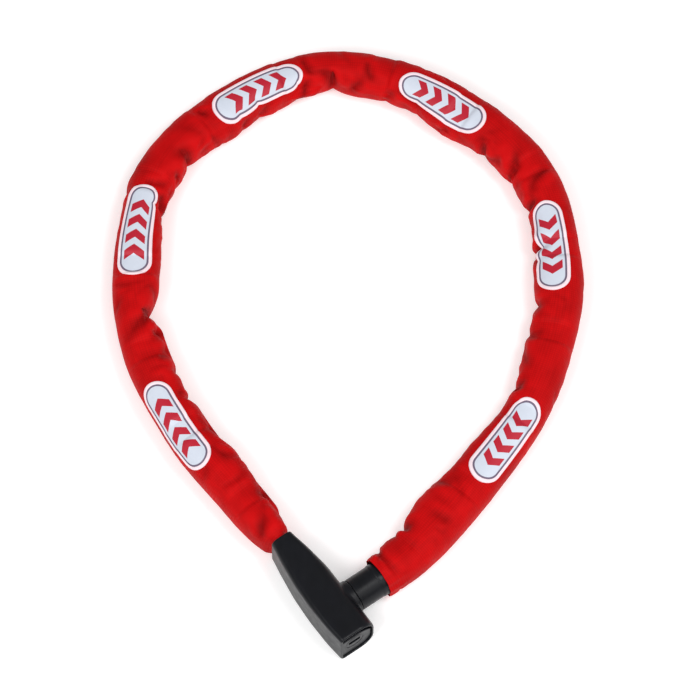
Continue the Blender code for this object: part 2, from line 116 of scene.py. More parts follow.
# Creases pressed into the cloth: start distance and angle, end distance and angle, depth, width
CREASES = [
    (8, 35, 26, 118, 1.0, 3.0), (24, 184, 34, 112, 0.9, 3.2), (74, 100, 52, 150, 0.9, 4.0),
    (60, 25, 70, 84, 0.5, 3.0), (111, 186, 105, 140, 1.0, 2.4), (130, 184, 125, 124, 0.8, 2.6),
    (146, 186, 135, 96, 0.8, 3.2), (157, 188, 149, 88, 1.2, 3.0), (172, 190, 158, 66, 1.7, 3.4),
    (166, 122, 150, 28, 0.8, 3.6), (180, 180, 188, 104, 0.8, 2.6), (190, 36, 192, 138, 0.55, 2.2),
    (241, 188, 247, 108, 1.5, 2.8), (253, 78, 262, 152, 1.0, 2.2), (245, -14, 251, 44, 1.0, 2.6),
    (263, 186, 268, 126, 0.9, 2.6), (280, 190, 277, 94, 1.6, 3.0), (296, 120, 286, 60, 0.5, 3.2),
    (304, 62, 308, 96, 1.0, 2.0), (322, 186, 327, 150, 0.7, 2.0), (335, 188, 340, 146, 1.0, 2.4),
    (362, 188, 367, 118, 1.2, 2.6), (384, 192, 371, 78, 1.6, 3.0), (368, 62, 376, 130, 1.1, 2.4),
    (395, 180, 402, 94, 1.0, 2.8), (403, 76, 412, 140, 1.1, 2.6), (417, 188, 421, 122, 1.1, 2.4),
    (424, 138, 452, 152, 0.8, 2.0), (455, 188, 463, 152, 0.9, 2.2), (488, 188, 481, 118, 1.1, 2.6),
    (492, 182, 503, 138, 0.8, 2.4), (513, 190, 502, 78, 1.8, 3.0), (521, 60, 533, 136, 1.3, 2.8),
    (536, 190, 534, 116, 1.6, 2.6), (566, 194, 561, 96, 2.6, 2.8), (567, 190, 577, 112, 1.4, 2.6),
    (600, 190, 607, 112, 1.5, 2.8), (622, 186, 626, 104, 0.9, 2.8), (631, 172, 652, 88, 0.9, 3.4),
    (662, 190, 654, 104, 1.4, 2.8), (740, 166, 724, 104, 0.6, 4.0), (752, 60, 766, 120, 0.5, 3.6),
    (773, 192, 767, 104, 1.6, 2.8), (774, 190, 784, 128, 1.1, 2.4), (795, 196, 798, 30, 1.1, 2.0),
    (803, 128, 806, 84, 0.6, 1.8),
]

# How far the cloth has crept along the chain, with its outline and creases: distance, creep
CREEP = [(20, 0), (90, -6.5), (216, -7), (335, -3), (452, 0.4), (573, 5.8), (701, 5.1), (780, 5.5),
         (808, 0)]

# Badges: distance along the sleeve and how far round it they sit, positive outwards from the top
BADGE_PLACES = [(90.5, 8.0), (216, 0.0), (335, -3.0), (452.5, -5.5), (573, -4.0), (701, 2.9)]
# For each piece of sleeve: the body before it, the body after it and two distances along it,
# between which it would turn from one to the next; the pieces are not bent.
SLEEVE_BENDS = [("lock", "chain_1", 24, 66), ("chain_1", "chain_2", 128, 174),
                ("chain_2", "chain_3", 272, 311), ("chain_3", "chain_4", 378, 423),
                ("chain_4", "chain_5", 484, 534), ("chain_5", "chain_6", 610, 666),
                ("chain_6", "ferrule", 724, 768)]

# Lock body outline: x, half width left, half width right, radius of the right-hand corners
JACKET_STATIONS = [(-36, 6.4, 6.4, 3.0), (-24, 8.5, 9.2, 4.5), (-8, 10.6, 11.9, 7.0),
                   (8, 11.3, 12.4, 9.0), (24, 10.9, 13.0, 9.5), (36, 9.6, 12.9, 9.5)]
JACKET_WALL = 1.4 * MM
LEFT_CORNER = [(-36, 4.4), (-8, 3.8), (20, 2.8), (36, 2.4)]     # x, radius
BOSS_RADIUS = 10.2 * MM
BOSS_END = 15.1 * MM
BORE_RADIUS = 5.9 * MM
FACE_PLACE = 35 * MM
CAP_BACK = 32.4 * MM
CAP_INSET = 1.7 * MM
FLANGE_FACE = 33.2 * MM       # the panel stands out from this flange, below a groove
PANEL_DROP = 5.6 * MM
PLUG_HOLE = 5.9 * MM
PLUG_RADIUS = 5.84 * MM
PLUG_BACK = 23.6 * MM
KEYWAY = (3.8 * MM, 1.6 * MM)     # half width and half height of the slot
COVER_RADIUS = 9.75 * MM
COVER_INNER = 8.75 * MM
COVER_START = 15.3 * MM
COVER_END = 34 * MM


# ---------------------------------------------------------------- settings

class CHAINLOCK_PG_sleeve(bpy.types.PropertyGroup):
    colour: FloatVectorProperty(
        name="Cloth colour", description="Colour of the nylon where the light falls on it, sRGB",
        subtype="COLOR_GAMMA", size=3, min=0, max=1, default=(0.71, 0.025, 0.035))
    wall: FloatProperty(
        name="Cloth thickness", description="Thickness of the sleeve's cloth",
        subtype="DISTANCE", unit="LENGTH", min=0.0001, default=0.5 * MM)
    ring_step: FloatProperty(
        name="Ring spacing", description="Distance between the mesh's rings along the sleeve",
        subtype="DISTANCE", unit="LENGTH", min=0.0004, default=0.85 * MM)
    thread: FloatProperty(
        name="Thread spacing", description="Distance between neighbouring threads of the weave",
        subtype="DISTANCE", unit="LENGTH", min=0.0002, default=1.3 * MM)


class CHAINLOCK_PG_badge(bpy.types.PropertyGroup):
    length: FloatProperty(name="Length", description="Length of a badge along the sleeve",
                          subtype="DISTANCE", unit="LENGTH", default=58.5 * MM)
    width: FloatProperty(name="Width", description="Width of a badge across the sleeve",
                         subtype="DISTANCE", unit="LENGTH", default=19.5 * MM)
    rim: FloatProperty(name="Rim width", description="Width of the raised rim",
                       subtype="DISTANCE", unit="LENGTH", default=1.9 * MM)
    ink: FloatVectorProperty(name="Ink colour", description="Colour of the printed chevrons, sRGB",
                             subtype="COLOR_GAMMA", size=3, min=0, max=1,
                             default=(0.69, 0.06, 0.16))


class CHAINLOCK_PG_lock(bpy.types.PropertyGroup):
    colour: FloatVectorProperty(name="Plastic colour", description="Colour of the lock body, sRGB",
                                subtype="COLOR_GAMMA", size=3, min=0, max=1,
                                default=(0.045, 0.05, 0.066))
    lip: FloatProperty(name="Thin lip radius", description="Rounding of the rim at the thin end",
                       subtype="DISTANCE", unit="LENGTH", default=0.6 * MM)
    rim_length: FloatProperty(name="Key rim length",
                              description="How far along the body the key end's rim rounds",
                              subtype="DISTANCE", unit="LENGTH", default=1.8 * MM)
    rim_depth: FloatProperty(name="Key rim depth", description="How deep the same rounding goes",
                             subtype="DISTANCE", unit="LENGTH", default=0.8 * MM)
    flare: FloatProperty(name="Boss fillet", description="Fillet where the boss meets the body",
                         subtype="DISTANCE", unit="LENGTH", default=1.6 * MM)


class CHAINLOCK_PG_stage(bpy.types.PropertyGroup):
    elevation: FloatProperty(name="Camera elevation", description="Angle above the floor",
                             subtype="ANGLE", unit="ROTATION", default=math.radians(65))
    distance: FloatProperty(name="Camera distance", description="From the middle of the view",
                            subtype="DISTANCE", unit="LENGTH", default=3.5)
    view_width: FloatProperty(name="View width", description="Width of the view at the lock",
                              subtype="DISTANCE", unit="LENGTH", default=0.399)
    floor: FloatVectorProperty(name="Floor colour", description="Colour of the floor, sRGB",
                               subtype="COLOR_GAMMA", size=3, min=0, max=1,
                               default=(0.975, 0.975, 0.975))


# ---------------------------------------------------------------- small helpers

def linear(srgb):
    """The linear colour of an sRGB hex string or an sRGB triple, with alpha 1."""
    if isinstance(srgb, str):
        srgb = [int(srgb[k:k + 2], 16) / 255 for k in (0, 2, 4)]
    return (*[c / 12.92 if c <= 0.04045 else ((c + 0.055) / 1.055) ** 2.4 for c in srgb], 1.0)


def smoothstep(value, low, high):
    """Three t squared less two t cubed, where t runs from 0 at low to 1 at high."""
    t = np.clip((value - low) / (high - low), 0, 1)
    return t * t * (3 - 2 * t)


def soft_max(value, least, softness):
    """Greater of two values with a rounded corner: their mean plus half a hyperbola."""
    return (value + least + np.sqrt((value - least) ** 2 + softness ** 2)) / 2


def lock_world(x, y, z):
    """Points of the lock's frame as points of the part's frame."""
    x, y, z = np.broadcast_arrays(x, y, z)
    return x[..., None] * LOCK_X + y[..., None] * LOCK_Y + z[..., None] * LOCK_Z


def grid_faces(rings, columns, ring_loop=False, column_loop=True):
    """Quads between neighbouring rings and columns, with each corner's ring and column."""
    r = np.arange(rings if ring_loop else rings - 1)[:, None]
    c = np.arange(columns if column_loop else columns - 1)[None, :]
    corners = [(r, c), (r, c + 1), (r + 1, c + 1), (r + 1, c)]
    size = (r.size, c.size)
    index = [np.broadcast_to((a % rings) * columns + b % columns, size) for a, b in corners]
    steps = [np.broadcast_to(a * (columns + 1) + b, size) for a, b in corners]
    return np.stack(index, -1).reshape(-1, 4), np.stack(steps, -1).reshape(-1, 4)


def signed_volume(points, faces):
    """Sum of the tetrahedra from the origin to each quad's two triangles."""
    a, b, c, d = (points[faces[:, k]] for k in range(4))
    return float(np.einsum("ij,ij->i", a, np.cross(b, c) + np.cross(c, d)).sum()) / 6


def piece(name, grid, ring_loop=False, column_loop=True, uv=None, normals=None, weld=False):
    """A mesh object from a grid of points. uv has one more ring and column than the grid."""
    rings, columns = grid.shape[:2]
    points = grid.reshape(-1, 3)
    faces, steps = grid_faces(rings, columns, ring_loop, column_loop)
    if signed_volume(points, faces) < 0:
        faces, steps = faces[:, ::-1], steps[:, ::-1]
    mesh = bpy.data.meshes.new(name)
    mesh.from_pydata(points.tolist(), [], faces.tolist())
    if uv is not None:
        corners = uv.reshape(-1, 2)[steps.ravel()].astype(np.float32)
        mesh.uv_layers.new(name="cloth").uv.foreach_set("vector", corners.ravel())
    mesh.polygons.foreach_set("use_smooth", np.ones(len(faces), bool))
    if weld:
        weld_doubles(mesh)
    mesh.update()
    if normals is not None:
        mesh.normals_split_custom_set_from_vertices(normals.reshape(-1, 3).tolist())
    made = bpy.data.objects.new(name, mesh)
    bpy.context.scene.collection.objects.link(made)
    return made


def weld_doubles(mesh):
    """Close poles and seams: merge points that fall together and drop faces without area."""
    bm = bmesh.new()
    bm.from_mesh(mesh)
    near = 0.002 * MM
    bmesh.ops.remove_doubles(bm, verts=bm.verts[:], dist=near)
    bmesh.ops.dissolve_degenerate(bm, edges=bm.edges[:], dist=near)
    bm.to_mesh(mesh)
    bm.free()


def turned(name, profile, origin, axis, side, up, columns, ring_loop=True):
    """A profile of (radius, distance along the axis) carried once round the axis."""
    radius, along = np.array(profile, float).T
    angle = np.linspace(0, 2 * math.pi, columns, endpoint=False)
    grid = (origin + along[:, None, None] * axis
            + radius[:, None, None] * (np.cos(angle)[None, :, None] * side
                                       + np.sin(angle)[None, :, None] * up))
    return piece(name, grid, ring_loop=ring_loop, weld=True)


def rounded_profile(corners, radius, steps):
    """A closed profile with each corner replaced by a quadratic curve between points radius
    before and after it."""
    corners = np.array(corners, float)
    out = []
    for k in range(len(corners)):
        here = corners[k]
        back, on = corners[k - 1] - here, corners[(k + 1) % len(corners)] - here
        reach = min(radius, np.linalg.norm(back) / 2.2, np.linalg.norm(on) / 2.2)
        first = here + back / np.linalg.norm(back) * reach
        last = here + on / np.linalg.norm(on) * reach
        t = np.linspace(0, 1, steps)[:, None]
        out.append((1 - t) ** 2 * first + 2 * t * (1 - t) * here + t ** 2 * last)
    return np.vstack(out)


def cut(thing, cutter):
    """Take cutter out of thing for good, and remove the cutter."""
    change = thing.modifiers.new("cut", "BOOLEAN")
    change.operation = "DIFFERENCE"
    change.solver = "EXACT"
    change.object = cutter
    graph = bpy.context.evaluated_depsgraph_get()
    made = bpy.data.meshes.new_from_object(thing.evaluated_get(graph))
    if len(made.polygons) == 0:
        raise RuntimeError(f"{thing.name}: the cut left nothing")
    thing.modifiers.clear()
    thing.data = made
    bpy.data.objects.remove(cutter, do_unlink=True)
    thing.data.set_sharp_from_angle(angle=math.radians(38))


# ---------------------------------------------------------------- materials

def fill(tree, made, inputs):
    """Give each input of a node a plain value, or a link from another node or socket."""
    for key, value in inputs.items():
        source = value.outputs[0] if isinstance(value, bpy.types.Node) else value
        if isinstance(source, bpy.types.NodeSocket):
            tree.links.new(source, made.inputs[key])
        else:
            made.inputs[key].default_value = source


def node(tree, kind, inputs=(), **settings):
    """One node with its settings. Its inputs come as a list in order, or by name or number."""
    made = tree.nodes.new(kind)
    for name, value in settings.items():
        setattr(made, name, value)
    fill(tree, made, inputs if isinstance(inputs, dict) else dict(enumerate(inputs)))
    return made


def new_material(name):
    """A material with its node tree and its Principled shader."""
    material = bpy.data.materials.new(name)
    material.use_nodes = True
    return material, material.node_tree, material.node_tree.nodes["Principled BSDF"]


def woven_nylon(settings):
    """Plain-weave nylon, dyed red: dull thread tops with a little sheen, darker in the gaps, with
    painted shade in the creases and painted light on the bulges.
    """
    material, tree, shader = new_material("woven_red_nylon")
    uv = node(tree, "ShaderNodeUVMap", uv_map="cloth")
    split = node(tree, "ShaderNodeSeparateXYZ", [uv])
    # real thread is about 0.35 mm; it is drawn coarser so that it shows
    turns = math.pi / settings.thread
    along = node(tree, "ShaderNodeMath", [split.outputs[0], turns], operation="MULTIPLY")
    across = node(tree, "ShaderNodeMath", [split.outputs[1], turns], operation="MULTIPLY")
    weave = node(tree, "ShaderNodeMath", [node(tree, "ShaderNodeMath", [along], operation="SINE"),
                                          node(tree, "ShaderNodeMath", [across], operation="SINE")],
                 operation="MULTIPLY")
    tops = node(tree, "ShaderNodeMath", [weave], operation="ABSOLUTE")
    wear = node(tree, "ShaderNodeTexNoise",
                {"Vector": uv, "Scale": 1 / (14 * MM), "Detail": 3.0, "Roughness": 0.6})
    drawn = node(tree, "ShaderNodeMapping", {"Vector": uv, "Scale": (0.25, 1.0, 1.0)})
    slub = node(tree, "ShaderNodeTexNoise",
                {"Vector": drawn, "Scale": 1 / (2.2 * MM), "Detail": 2.0})
    # painted shade and light: a point attribute, low in the creases and high on the bulges, darkens
    # the cloth's colour in the creases and lightens it on the bulges
    fold = node(tree, "ShaderNodeAttribute", attribute_name="fold").outputs["Fac"]
    shade = node(tree, "ShaderNodeMath", [tops, 0.12], operation="MULTIPLY")
    for part, weight in ((slub, 0.16), (wear, 0.22), (fold, 0.5)):
        shade = node(tree, "ShaderNodeMath", [part, weight, shade], operation="MULTIPLY_ADD")
    bright = linear(settings.colour)
    ramp = node(tree, "ShaderNodeValToRGB", [shade])
    # the ramp's dark end stands for the thread gaps and the painted crease shade, its light end for
    # the thread tops and the painted light on the bulges
    gap_and_crease_shade, top = ramp.color_ramp.elements
    gap_and_crease_shade.position, top.position = 0.18, 0.6
    gap_and_crease_shade.color = (bright[0] * 0.42, bright[1] * 0.35, bright[2] * 0.35, 1.0)
    top.color = (min(bright[0] * 1.12, 1), bright[1] * 1.3, bright[2] * 1.3, 1.0)
    height = node(tree, "ShaderNodeMath", [slub, 0.6, tops], operation="MULTIPLY_ADD")
    bump = node(tree, "ShaderNodeBump", {"Strength": 0.35, "Distance": 0.12 * MM, "Height": height})
    fill(tree, shader, {"Base Color": ramp, "Normal": bump, "Roughness": 0.62,
                        "Specular IOR Level": 0.06, "Sheen Weight": 0.02, "Sheen Roughness": 0.5,
                        "Sheen Tint": linear("ff5a50")})
    return material


def printed_label(settings):
    """Rubbery heat-pressed label: matt white rim, a thin grey line, a bluish field with print."""
    material, tree, shader = new_material("printed_rubber_label")
    uv = node(tree, "ShaderNodeUVMap", uv_map="cloth")
    split = node(tree, "ShaderNodeSeparateXYZ", [uv])
    p, q = split.outputs[0], split.outputs[1]
    half = settings.width / 2
    straight = settings.length / 2 - half
    # distance from the label's edge, which is a stadium: how far p is past the straight part,
    # and from that and q the distance from the middle line
    far = node(tree, "ShaderNodeMath", [p], operation="ABSOLUTE")
    past = node(tree, "ShaderNodeMath", [far, straight], operation="SUBTRACT")
    beyond = node(tree, "ShaderNodeMath", [past, 0.0], operation="MAXIMUM")
    squared = node(tree, "ShaderNodeMath", [q, q], operation="MULTIPLY")
    total = node(tree, "ShaderNodeMath", [beyond, beyond, squared], operation="MULTIPLY_ADD")
    reach = node(tree, "ShaderNodeMath", [total], operation="SQRT")
    inside = node(tree, "ShaderNodeMath", [half, reach], operation="SUBTRACT")
    line = node(tree, "ShaderNodeMath", [inside, settings.rim + 0.65 * MM, 0.52 * MM],
                operation="COMPARE")
    field = node(tree, "ShaderNodeMath", [inside, settings.rim + 0.3 * MM],
                 operation="GREATER_THAN")
    # four chevrons: distance along plus three quarters of the distance across, in equal steps
    pitch, ink, middle, tallest = 9.6 * MM, 5.2 * MM, 4.2 * MM, 5.4 * MM
    across = node(tree, "ShaderNodeMath", [q], operation="ABSOLUTE")
    lean = node(tree, "ShaderNodeMath", [across, 0.75, p], operation="MULTIPLY_ADD")
    moved = node(tree, "ShaderNodeMath", [lean, 100 * pitch - middle], operation="ADD")
    step = node(tree, "ShaderNodeMath", [moved, pitch], operation="MODULO")
    bars = node(tree, "ShaderNodeMath", [step, ink], operation="LESS_THAN")
    tall = node(tree, "ShaderNodeMath", [across, tallest], operation="LESS_THAN")
    wide = node(tree, "ShaderNodeMath", [lean, middle, 2 * pitch], operation="COMPARE")
    both = node(tree, "ShaderNodeMath", [bars, tall], operation="MULTIPLY")
    print_on = node(tree, "ShaderNodeMath", [both, wide], operation="MULTIPLY")
    speck = node(tree, "ShaderNodeTexNoise", {"Vector": uv, "Scale": 1 / (3 * MM), "Detail": 4.0})
    dust = node(tree, "ShaderNodeMath", [speck, 0.16], operation="MULTIPLY")
    colour = linear("ecd8de")
    for factor, over, blend in ((field, "c8cfdb", "MIX"), (line, "695c70", "MIX"),
                                (print_on, settings.ink, "MIX"), (dust, "b9b2bd", "MULTIPLY")):
        colour = node(tree, "ShaderNodeMix", {0: factor, 6: colour, 7: linear(over)},
                      data_type="RGBA", blend_type=blend).outputs[2]
    grain = node(tree, "ShaderNodeTexNoise", {"Vector": uv, "Scale": 1 / (0.9 * MM), "Detail": 2.0})
    height = node(tree, "ShaderNodeMath", [print_on, 0.8, grain], operation="MULTIPLY_ADD")
    bump = node(tree, "ShaderNodeBump", {"Strength": 0.3, "Distance": 0.08 * MM, "Height": height})
    fill(tree, shader, {"Base Color": colour, "Normal": bump, "Roughness": 0.5,
                        "Specular IOR Level": 0.35})
    return material


def moulded_plastic(settings):
    """Glass-filled nylon moulding, spark-eroded: near black with a soft broad grey gleam."""
    material, tree, shader = new_material("moulded_black_nylon")
    place = node(tree, "ShaderNodeTexCoord").outputs["Object"]
    # the moulding's texture is about 0.1 mm; drawn at 0.7 mm so that it shows
    grain = node(tree, "ShaderNodeTexNoise",
                 {"Vector": place, "Scale": 1 / (0.7 * MM), "Detail": 3.0, "Roughness": 0.55})
    cloud = node(tree, "ShaderNodeTexNoise",
                 {"Vector": place, "Scale": 1 / (16 * MM), "Detail": 4.0})
    drawn = node(tree, "ShaderNodeMapping", {"Vector": place, "Scale": (1.0, 0.3, 1.0)})
    scuff = node(tree, "ShaderNodeTexNoise",
                 {"Vector": drawn, "Scale": 1 / (3 * MM), "Detail": 5.0, "Roughness": 0.7})
    base = linear(settings.colour)
    ramp = node(tree, "ShaderNodeValToRGB", [cloud])
    deep, pale = ramp.color_ramp.elements
    deep.position, pale.position = 0.3, 0.75
    deep.color = (base[0] * 0.8, base[1] * 0.8, base[2] * 0.82, 1)
    pale.color = (base[0] * 1.35, base[1] * 1.35, base[2] * 1.45, 1)
    gloss = node(tree, "ShaderNodeMapRange", [scuff, 0.35, 0.7, 0.29, 0.43])
    bump = node(tree, "ShaderNodeBump", {"Strength": 0.28, "Distance": 0.05 * MM, "Height": grain})
    fill(tree, shader, {"Base Color": ramp, "Roughness": gloss, "Normal": bump,
                        "Specular IOR Level": 0.2})
    return material


def metal(name, colour, roughness, grain_size, streak, dirt):
    """A metal whose gleam is broken by grain, which streak stretches along z, and whose colour
    is darkened in patches by dirt."""
    material, tree, shader = new_material(name)
    place = node(tree, "ShaderNodeTexCoord").outputs["Object"]
    stretched = node(tree, "ShaderNodeMapping", {"Vector": place, "Scale": (1.0, 1.0, streak)})
    grain = node(tree, "ShaderNodeTexNoise",
                 {"Vector": stretched, "Scale": 1 / grain_size, "Detail": 4.0})
    cloud = node(tree, "ShaderNodeTexNoise",
                 {"Vector": place, "Scale": 1 / (7 * MM), "Detail": 4.0})
    base = linear(colour)
    ramp = node(tree, "ShaderNodeValToRGB", [cloud])
    dull, clean = ramp.color_ramp.elements
    dull.position, clean.position = 0.3, 0.6
    dull.color = (base[0] * dirt, base[1] * dirt, base[2] * dirt, 1)
    clean.color = base
    gloss = node(tree, "ShaderNodeMapRange", [grain, 0.3, 0.7, roughness - 0.08, roughness + 0.12])
    bump = node(tree, "ShaderNodeBump", {"Strength": 0.2, "Distance": 0.04 * MM, "Height": grain})
    fill(tree, shader, {"Base Color": ramp, "Roughness": gloss, "Normal": bump,
                        "Metallic": 1.0})
    return material


def paint(thing, material):
    thing.data.materials.clear()
    thing.data.materials.append(material)


# ---------------------------------------------------------------- route and sleeve surface

def spline(points):
    """Cubic B-spline: each span blends four neighbouring points, so the bend changes smoothly."""
    steps = 60
    points = np.array(points, dtype=float)
    points = np.vstack([2 * points[0] - points[1], points, 2 * points[-1] - points[-2]])
    t = np.linspace(0, 1, steps, endpoint=False)[:, None]
    blend = [(1 - t) ** 3, 3 * t ** 3 - 6 * t ** 2 + 4,
             -3 * t ** 3 + 3 * t ** 2 + 3 * t + 1, t ** 3]
    spans = zip(points, points[1:], points[2:], points[3:])
    return np.vstack([sum(b * p for b, p in zip(blend, span)) / 6 for span in spans])


def make_route():
    """Distance from the thin end, middle line and direction, in plan."""
    start = [lock_world(x * MM, 0.0, 0.0)[:2] for x in ROUTE_LOCK_END]
    loop = [np.array(p) * MM for p in ROUTE_LOOP]
    end = [lock_world(SOCKET_X, y * MM, 0.0)[:2] for y in ROUTE_FERRULE_END]
    points = spline(start + loop + end)
    along = np.concatenate([[0], np.cumsum(np.linalg.norm(np.diff(points, axis=0), axis=1))])
    thin_end = lock_world(-LOCK_HALF, 0.0, 0.0)[:2]
    along = along - along[np.linalg.norm(points - thin_end, axis=1).argmin()]
    heading = np.gradient(points, along, axis=0)
    return along, points, heading / np.linalg.norm(heading, axis=1)[:, None]


ROUTE = make_route()


def route_at(s):
    """Middle line and the sideways direction out of the loop, at distances s."""
    along, points, heading = ROUTE
    middle = np.stack([np.interp(s, along, points[:, k]) for k in (0, 1)], -1)
    ahead = np.stack([np.interp(s, along, heading[:, k]) for k in (0, 1)], -1)
    ahead /= np.linalg.norm(ahead, axis=-1)[..., None]
    return middle, np.stack([-ahead[..., 1], ahead[..., 0]], -1)


def route_point(s):
    """The chain's middle at a distance s, at its own height."""
    middle, _ = route_at(s)
    return Vector((middle[0], middle[1], AXIS_HEIGHT))


def smooth_list(s, pairs, sigma):
    """A list of (distance, value) in millimetres, joined by lines and blurred along s."""
    at, value = np.array(pairs, float).T * MM
    step = 0.5 * MM
    fine = np.arange(s.min() - 4 * sigma, s.max() + 4 * sigma, step)
    reach = np.arange(-3 * sigma, 3 * sigma + step, step)
    kernel = np.exp(-(reach / sigma) ** 2 / 2)
    line = np.interp(fine, at, value)
    padded = np.pad(line, len(kernel) // 2, mode="edge")
    blurred = np.convolve(padded, kernel / kernel.sum(), "same")[len(kernel) // 2:][:len(fine)]
    return np.interp(s, fine, blurred)


def link_reach(s, first):
    """How far the links numbered first, first+2 ... reach sideways: a stadium's half width."""
    number = np.round((s - FIRST_LINK) / LINK_PITCH / 2 - (first - 1) / 2) * 2 + first
    number = np.clip(number, first, LINK_COUNT - first % 2)
    off = np.abs(s - FIRST_LINK - (number - 1) * LINK_PITCH)
    beyond = np.clip(off - LINK_ARC_CENTRE, 0, LINK_HALF_WIDTH)
    return np.sqrt(LINK_HALF_WIDTH ** 2 - beyond ** 2) * (off < LINK_ARC_CENTRE + LINK_HALF_WIDTH)


def waves(s, a, rng, count, shortest, longest, tilt):
    """Sum of sine waves of mixed lengths whose crests run round the sleeve, give or take tilt."""
    total = np.zeros(np.broadcast_shapes(s.shape, a.shape))
    for _ in range(count):
        length = shortest * (longest / shortest) ** rng.random()
        lean = tilt * rng.normal()
        phase = rng.random() * 2 * math.pi
        total += np.sin(2 * math.pi * (s * math.cos(lean) + a * math.sin(lean)) / length + phase)
    return total / math.sqrt(count)


def crease(s, a, start, end, depth, width):
    """A valley along the line from start to end with a lower ridge on each side of it, both
    fading out towards its ends. Distances are measured on the unrolled cloth."""
    start, end = np.array(start), np.array(end)
    along = end - start
    length = np.hypot(*along)
    along = along / length
    u = ((s - start[0]) * along[0] + (a - start[1]) * along[1]) / length
    bow = 0.10 * length * np.sin(np.clip(u, 0, 1) * math.pi)
    d = (s - start[0]) * -along[1] + (a - start[1]) * along[0] - bow
    fade = smoothstep(u, -0.10, 0.12) * (1 - smoothstep(u, 0.45, 1.05))
    width = width * (0.75 + 0.5 * np.clip(u, 0, 1))
    valley = np.exp(-np.abs(d / width) ** 1.5)
    ridges = np.exp(-((np.abs(d) - 2.1 * width) / (1.1 * width)) ** 2)
    return depth * fade * (0.42 * ridges - valley)


ROUND = 13.0 * MM     # turns an angle round the sleeve into a distance on the unrolled cloth
SLEEVE_COLUMNS = 132


